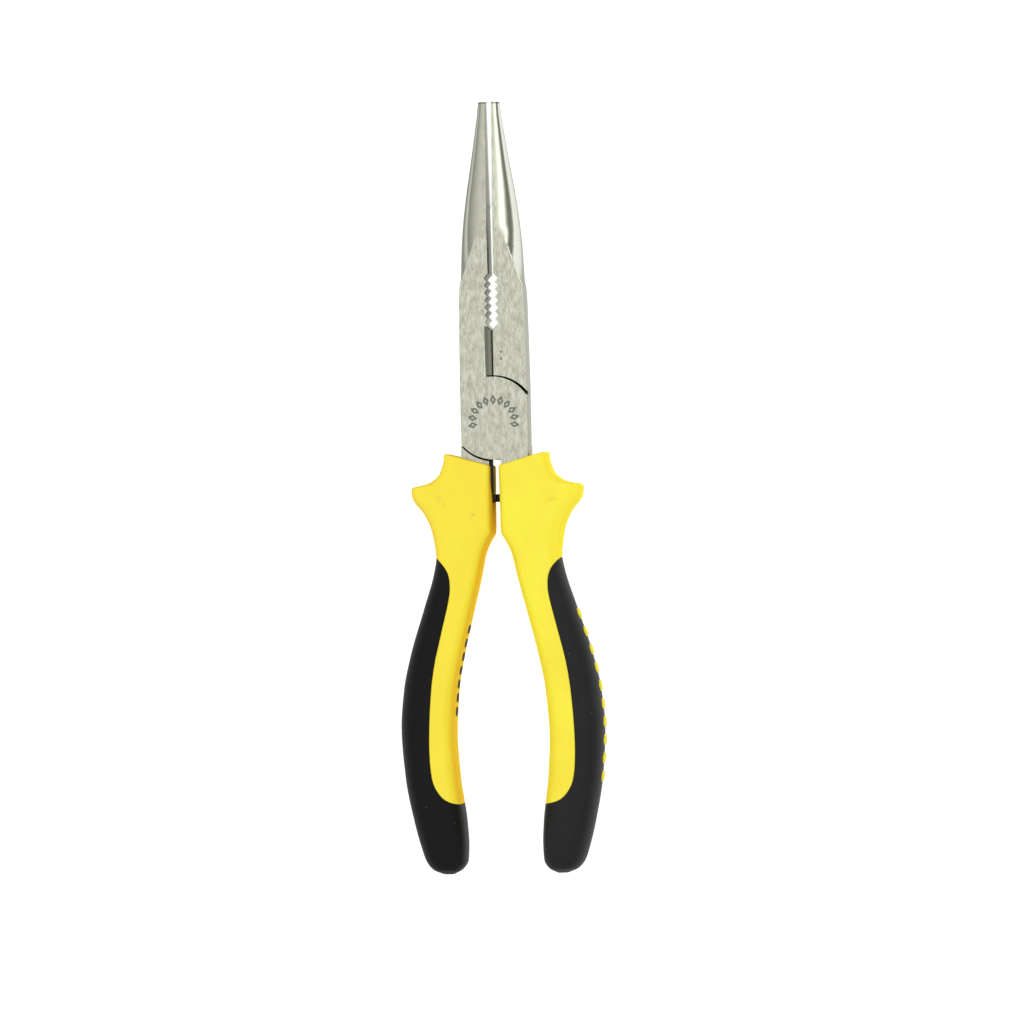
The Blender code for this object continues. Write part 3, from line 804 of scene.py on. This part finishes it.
def etched_arc(finish):
    """Mask of the arc of plain open lozenges etched above the pivot on the front face."""
    x, y, z = finish.split(finish.place)
    x = finish.maths("SUBTRACT", x, MARK_CENTRE[0])
    y = finish.maths("SUBTRACT", y, MARK_CENTRE[1])
    angle = finish.product(finish.maths("ARCTAN2", y, x), 180 / math.pi)
    turn = finish.maths("DIVIDE", finish.maths("ADD", angle, 360.0), MARK_STEP)
    side = finish.away(finish.maths("FRACT", turn), 0.5)
    side = finish.product(side, math.radians(MARK_STEP) * MARK_RADIUS / MARK_WIDTH)
    end = finish.maths("DIVIDE", finish.away(finish.length(x, y), MARK_RADIUS), MARK_HEIGHT)
    lozenge = finish.maths("ADD", side, end)
    upper = finish.maths("GREATER_THAN", y, -MARK_RADIUS * math.sin(math.radians(MARK_STEP)))
    front = finish.maths("GREATER_THAN", z, 2 * HALF_THICKNESS - 0.05)
    return finish.product(finish.between(lozenge, 1.0, 0.9), finish.between(lozenge, 0.3, 0.4),
                          upper, front)


def side_shade_mask(finish, level, x, outer):
    """Mask of the painted shade on the outer surfaces that stand steep, the left ones most."""
    left = finish.product(finish.between(x, 1.0, -1.0), 0.85)
    leaning = finish.product(finish.between(level, 0.85, 0.5), left)
    upright = finish.between(level, 0.4, 0.1, 0.0, 0.45)
    return finish.product(finish.maths("MAXIMUM", leaning, upright), outer)


def joint_shade_mask(finish, flat, aside):
    """Mask of the painted shade on the surfaces within the lap joint, fainter on the level faces where
    the plates lie on each other.
    """
    x, y, z = finish.split(finish.place)
    depth = finish.between(finish.away(z, HALF_THICKNESS), HALF_THICKNESS - 0.2, HALF_THICKNESS - 0.3)
    inside = finish.product(depth, finish.maths("LESS_THAN", y, RECESS_RADIUS + 0.1),
                            finish.maths("LESS_THAN", aside, HALF_JOINT_WIDTH - 0.25))
    near = finish.between(finish.length(x, y), PLATE_CORNER_RADIUS, LAPPED_RADIUS, 0.0, 0.8)
    return finish.product(inside, finish.maths("SUBTRACT", 1.0, finish.product(flat, near)))


def painted_tooth_light(finish, colour, level, aside, y):
    """The colour with stripes over it on the gripping faces: painted shade in the valleys of the fine
    teeth and a painted highlight on their peaks.
    """
    turn = finish.product(finish.maths("SUBTRACT", TIP_Y, y), 1 / FINE_TOOTH_PITCH)
    valley = finish.away(finish.maths("FRACT", turn), 0.5)
    gripping = finish.product(finish.maths("GREATER_THAN", y, FINE_TEETH_BOTTOM),
                              finish.maths("LESS_THAN", aside, GRIPPING_REACH),
                              finish.between(level, 0.4, 0.2))
    # Painted shade in the valleys, painted highlight on the peaks
    stripes = finish.mix(finish.between(valley, 0.22, 0.3), TOOTH_VALLEY_SHADE, TOOTH_PEAK_HIGHLIGHT)
    return finish.mix(gripping, colour, stripes)


def ground_steel():
    """Satin steel: belt-ground flats with streaks along the tool, finer polish on the round nose."""
    finish = Finish("ground_steel", metallic=1.0)
    cloudy = finish.noise((0.9, 0.3, 0.9), detail=3.0)
    streaks = finish.noise((3.2, 0.6, 3.2), detail=4.0, rough=0.75)
    lines = finish.noise((9.0, 0.5, 9.0), detail=3.0, rough=0.7)
    grain = finish.noise((5.0, 5.0, 5.0))
    level = finish.level()
    x, y, _ = finish.split(finish.place)
    aside = finish.maths("ABSOLUTE", x)
    outer = finish.maths("MAXIMUM", aside, finish.maths("SUBTRACT", y, CUTTER_TOP))
    outer = finish.maths("GREATER_THAN", outer, SLIT_HALF_WIDTH)
    flat = finish.between(level, 0.97, 0.995)
    steep = side_shade_mask(finish, level, x, outer)
    inside = joint_shade_mask(finish, flat, aside)
    mark = etched_arc(finish)

    tone = finish.between(finish.blend(cloudy, streaks, 0.35), 0.38, 0.62)
    colour = finish.mix(flat, finish.mix(tone, *POLISHED_TONES), finish.mix(tone, *GROUND_TONES))
    # Painted highlight on the outer sides that slope away
    colour = finish.mix(finish.product(finish.between(level, 0.76, 0.66), outer), colour, PAINTED_SIDE_HIGHLIGHT)
    # Painted shade on the steep outer sides, the left ones most
    colour = finish.mix(steep, colour, PAINTED_SIDE_SHADE)
    # Painted shade within the lap joint: near black, rougher and not metallic
    colour = finish.mix(finish.product(inside, 0.95), colour, JOINT_SHADE)
    colour = painted_tooth_light(finish, colour, level, aside, y)
    grime = finish.product(finish.between(y, TIP_Y - 0.7, TIP_Y - 0.2),
                           finish.between(streaks, 0.35, 0.6, 0.3, 0.8))
    colour = finish.mix(grime, colour, TIP_GRIME)
    spots = finish.maths("MAXIMUM", finish.specks(0.6, 0.1, 0.16), finish.specks(1.7, 0.22, 0.05))
    colour = finish.mix(finish.product(spots, 0.6), colour, STEEL_SPOT)
    colour = finish.mix(finish.product(mark, 0.82), colour, ETCHED)

    rough = 0.12
    for mask, rougher in ((lines, 0.1), (flat, 0.13), (mark, 0.2), (steep, 0.12), (inside, 0.6)):
        rough = finish.maths("MULTIPLY_ADD", mask, rougher, rough)
    finish.bump(finish.blend(lines, grain, 0.7), 0.012)
    return finish.set(Base_Color=colour, Roughness=rough, Metallic=finish.maths("SUBTRACT", 1.0, inside),
                      Specular_IOR_Level=0.1, Specular_Tint=STEEL_SHEEN)


# Yellow plastic: its two tones, painted shade on the left half and on the steep sides, and its wear
YELLOW_TONES = (0.97, 0.8, 0.037), (0.99, 0.88, 0.043)
YELLOW_LEFT_SHADE, YELLOW_SIDE_SHADE = (0.97, 0.74, 0.034), (0.87, 0.47, 0.018)
SCUFF, RUBBED = (0.33, 0.2, 0.02), (0.5, 0.3, 0.03)

# Places on the collars where the yellow is scuffed, as (x, y, reach)
RUBBED_SPOTS = [(-14.4, -20.6, 1.7), (-13.2, -22.0, 1.2), (-5.8, -25.0, 1.6), (15.0, -21.0, 1.7)]


def yellow_plastic():
    """Hard satin plastic with a faint moulded texture, slow tone changes and a few scuffs."""
    finish = Finish("yellow_plastic")
    slow = finish.noise((0.08, 0.05, 0.08))
    peel = finish.noise((1.4, 1.4, 1.4), detail=3.0)
    x, y, _ = finish.split(finish.place)
    left = finish.between(x, 2.0, -2.0)
    edge = finish.between(finish.level(), 0.85, 0.3)
    colour = finish.mix(finish.between(slow, 0.3, 0.7), *YELLOW_TONES)
    # Painted shade: the left half darker and more orange
    colour = finish.mix(finish.product(left, 0.4), colour, YELLOW_LEFT_SHADE)
    # Painted shade on the steep sides, most on the left
    side_shade_share = finish.product(edge, finish.between(left, 0.0, 1.0, 0.15, 0.6))
    colour = finish.mix(side_shade_share, colour, YELLOW_SIDE_SHADE)

    rubbed = 0.0
    for spot_x, spot_y, size in RUBBED_SPOTS:
        away = finish.maths("ADD", finish.away(x, spot_x), finish.away(y, spot_y))
        rubbed = finish.maths("MAXIMUM", rubbed, finish.between(away, size, 0.3 * size))
    scuffs = finish.product(finish.specks(1.6, 0.33, 0.45), rubbed, 0.6)
    colour = finish.mix(scuffs, colour, SCUFF)
    colour = finish.mix(finish.product(rubbed, 0.12), colour, RUBBED)

    rough = finish.maths("MULTIPLY_ADD", edge, 0.3, finish.maths("MULTIPLY_ADD", peel, 0.12, 0.34))
    finish.bump(peel, 0.02)
    return finish.set(Base_Color=colour, Roughness=rough,
                      Specular_IOR_Level=finish.maths("MULTIPLY_ADD", edge, -0.33, 0.35),
                      Subsurface_Weight=0.12, Subsurface_Scale=0.0012)


# Black rubber: its two tones, painted shade on the left half, and its dust
BLACK_TONES = (0.0036, 0.004, 0.0037), (0.006, 0.0066, 0.0068)
BLACK_LEFT_SHADE, DUST = (0.001, 0.001, 0.001), (0.22, 0.22, 0.22)


def black_rubber():
    """Matt thermoplastic rubber with a fine spark-eroded texture and a little dust."""
    finish = Finish("black_rubber")
    texture = finish.noise((4.5, 4.5, 4.5), detail=3.0, rough=0.6)
    slow = finish.noise((0.15, 0.1, 0.15))
    x = finish.split(finish.place)[0]
    colour = finish.mix(finish.between(slow, 0.3, 0.7), *BLACK_TONES)
    # Painted shade: the left half darker
    colour = finish.mix(finish.between(x, 3.0, -3.0, 0.0, 0.55), colour, BLACK_LEFT_SHADE)
    colour = finish.mix(finish.product(finish.specks(0.55, 0.09, 0.2), 0.5), colour, DUST)
    finish.bump(texture, 0.05)
    return finish.set(Base_Color=colour, Roughness=finish.maths("MULTIPLY_ADD", texture, 0.25, 0.5),
                      Specular_IOR_Level=finish.between(x, 3.0, -3.0, 0.3, 0.17))


# Pieces


def dress_half(body, side, node, pads, materials):
    """All the pieces of one half, each in the place of its CAD node."""
    steel, yellow, black = materials
    piece = lever("ground_" + node)
    if body == "back_half":
        for x, y in PUNCH_MARKS:
            combine(piece, punch_mark(x, y), "DIFFERENCE")
    install(piece, body, node, steel, SHARP_STEEL)
    node = side + "_grip_core"
    install(grip_core("moulded_" + node, pads), body, node, yellow, SHARP_PLASTIC)
    node = side + "_grip_overmould"
    install(overmould("moulded_" + node, pads), body, node, black, SHARP_OVERMOULD)
    for k in range(RIBS):
        node = f"{side}_grip_rib_{k + 1}"
        install(rib("moulded_" + node, k), body, node, black, SHARP_PLASTIC)


materials = ground_steel(), yellow_plastic(), black_rubber()
dress_half("front_half", "right", "front_lever", True, materials)
dress_half("back_half", "left", "back_lever", False, materials)
install(turned("ground_pivot_rivet", rivet_profile(0.0)), "front_half", "pivot_rivet",
        materials[0], SHARP_STEEL)


# Floor, light and camera

FLOOR_SIZE = 6.0
VIEW_WIDTH = 0.2656
VIEW_DISTANCE = 1.2
VIEW_TURN, VIEW_ROLL = math.radians(6.7), math.radians(-1.35)
VIEW_OFFSET = (0.00412, -0.0242)
SENSOR = 36.0
CLIP_START, CLIP_END = 0.05, 20.0
SOFTBOX_PLACE, SOFTBOX_SIZE, SOFTBOX_POWER = (0.5, 0.3, 0.98), (0.16, 1.1), 1.2

# Brightness of the tent by angle from overhead, in degrees, to the right of the object
TENT = [(-90, 0.4), (-65, 0.75), (-40, 1.08), (-8, 1.21), (17, 1.25), (24, 1.5), (29, 1.5), (40, 0.75),
        (52, 0.33), (74, 0.3), (83, 1.4), (90, 1.5)]

# How the tent dims lengthwise: from and to which share of the way down, and to what strength
TENT_FADE = 0.5, 0.95, 1.0, 0.4


def make_floor():
    """A wide pale floor that the grips lie on."""
    half, level = FLOOR_SIZE / 2, cad_bounds[0][2]
    data = bpy.data.meshes.new("floor")
    corners = [(-half, -half, level), (half, -half, level), (half, half, level), (-half, half, level)]
    data.from_pydata(corners, [], [(0, 1, 2, 3)])
    material = bpy.data.materials.new("pale_floor")
    material.use_nodes = True
    inputs = material.node_tree.nodes["Principled BSDF"].inputs
    inputs["Base Color"].default_value = (0.45, 0.45, 0.45, 1.0)
    inputs["Roughness"].default_value = 0.9
    inputs["Specular IOR Level"].default_value = 0.0
    inputs["Emission Color"].default_value = (1.0, 1.0, 1.0, 1.0)
    inputs["Emission Strength"].default_value = 0.85
    data.materials.append(material)
    add_object("floor", data)


def make_world():
    """A pale tent in strips along the object, which get dimmer towards the tent's two ends."""
    world = bpy.data.worlds.new("studio")
    bpy.context.scene.world = world
    world.use_nodes = True
    nodes = Nodes(world.node_tree)
    x, y, z = nodes.split(nodes.add("ShaderNodeTexCoord").outputs["Generated"])
    turn = nodes.maths("MULTIPLY_ADD", nodes.maths("ARCTAN2", x, z), 0.5 / math.pi, 0.5)
    ramp = nodes.add("ShaderNodeValToRGB")
    nodes.feed(ramp.inputs[0], turn)
    for _ in TENT[2:]:
        ramp.color_ramp.elements.new(0.5)
    for element, (angle, grey) in zip(ramp.color_ramp.elements, TENT):
        element.position = 0.5 + angle / 360
        element.color = (grey, grey, grey, 1.0)
    background = nodes.tree.nodes["Background"]
    nodes.feed(background.inputs["Color"], ramp.outputs[0])
    strength = nodes.between(nodes.maths("ABSOLUTE", y), *TENT_FADE)
    nodes.feed(background.inputs["Strength"], strength)


def make_softbox():
    """A rectangular area light at the right, aimed at the pliers."""
    light = bpy.data.lights.new("right_softbox", "AREA")
    light.shape = "RECTANGLE"
    light.size, light.size_y = SOFTBOX_SIZE
    light.energy = SOFTBOX_POWER
    lamp = add_object("right_softbox", light)
    lamp.location = SOFTBOX_PLACE
    lamp.rotation_euler = (-Vector(SOFTBOX_PLACE)).to_track_quat("-Z", "Y").to_euler()


def make_camera():
    """Looks straight down, turned a little to the right side of the pliers, as a long lens would."""
    lens = bpy.data.cameras.new("camera")
    lens.sensor_width = SENSOR
    lens.lens = SENSOR * VIEW_DISTANCE / VIEW_WIDTH
    lens.clip_start, lens.clip_end = CLIP_START, CLIP_END
    turn = Euler((0, VIEW_TURN, 0)).to_matrix() @ Matrix.Rotation(VIEW_ROLL, 3, "Z")
    place = PIVOT + turn @ Vector((*VIEW_OFFSET, VIEW_DISTANCE))
    camera = add_object("camera", lens)
    camera.matrix_world = Matrix.Translation(place) @ turn.to_4x4()
    bpy.context.scene.camera = camera


make_floor()
make_world()
make_softbox()
make_camera()
bpy.context.scene.view_settings.view_transform = "Standard"
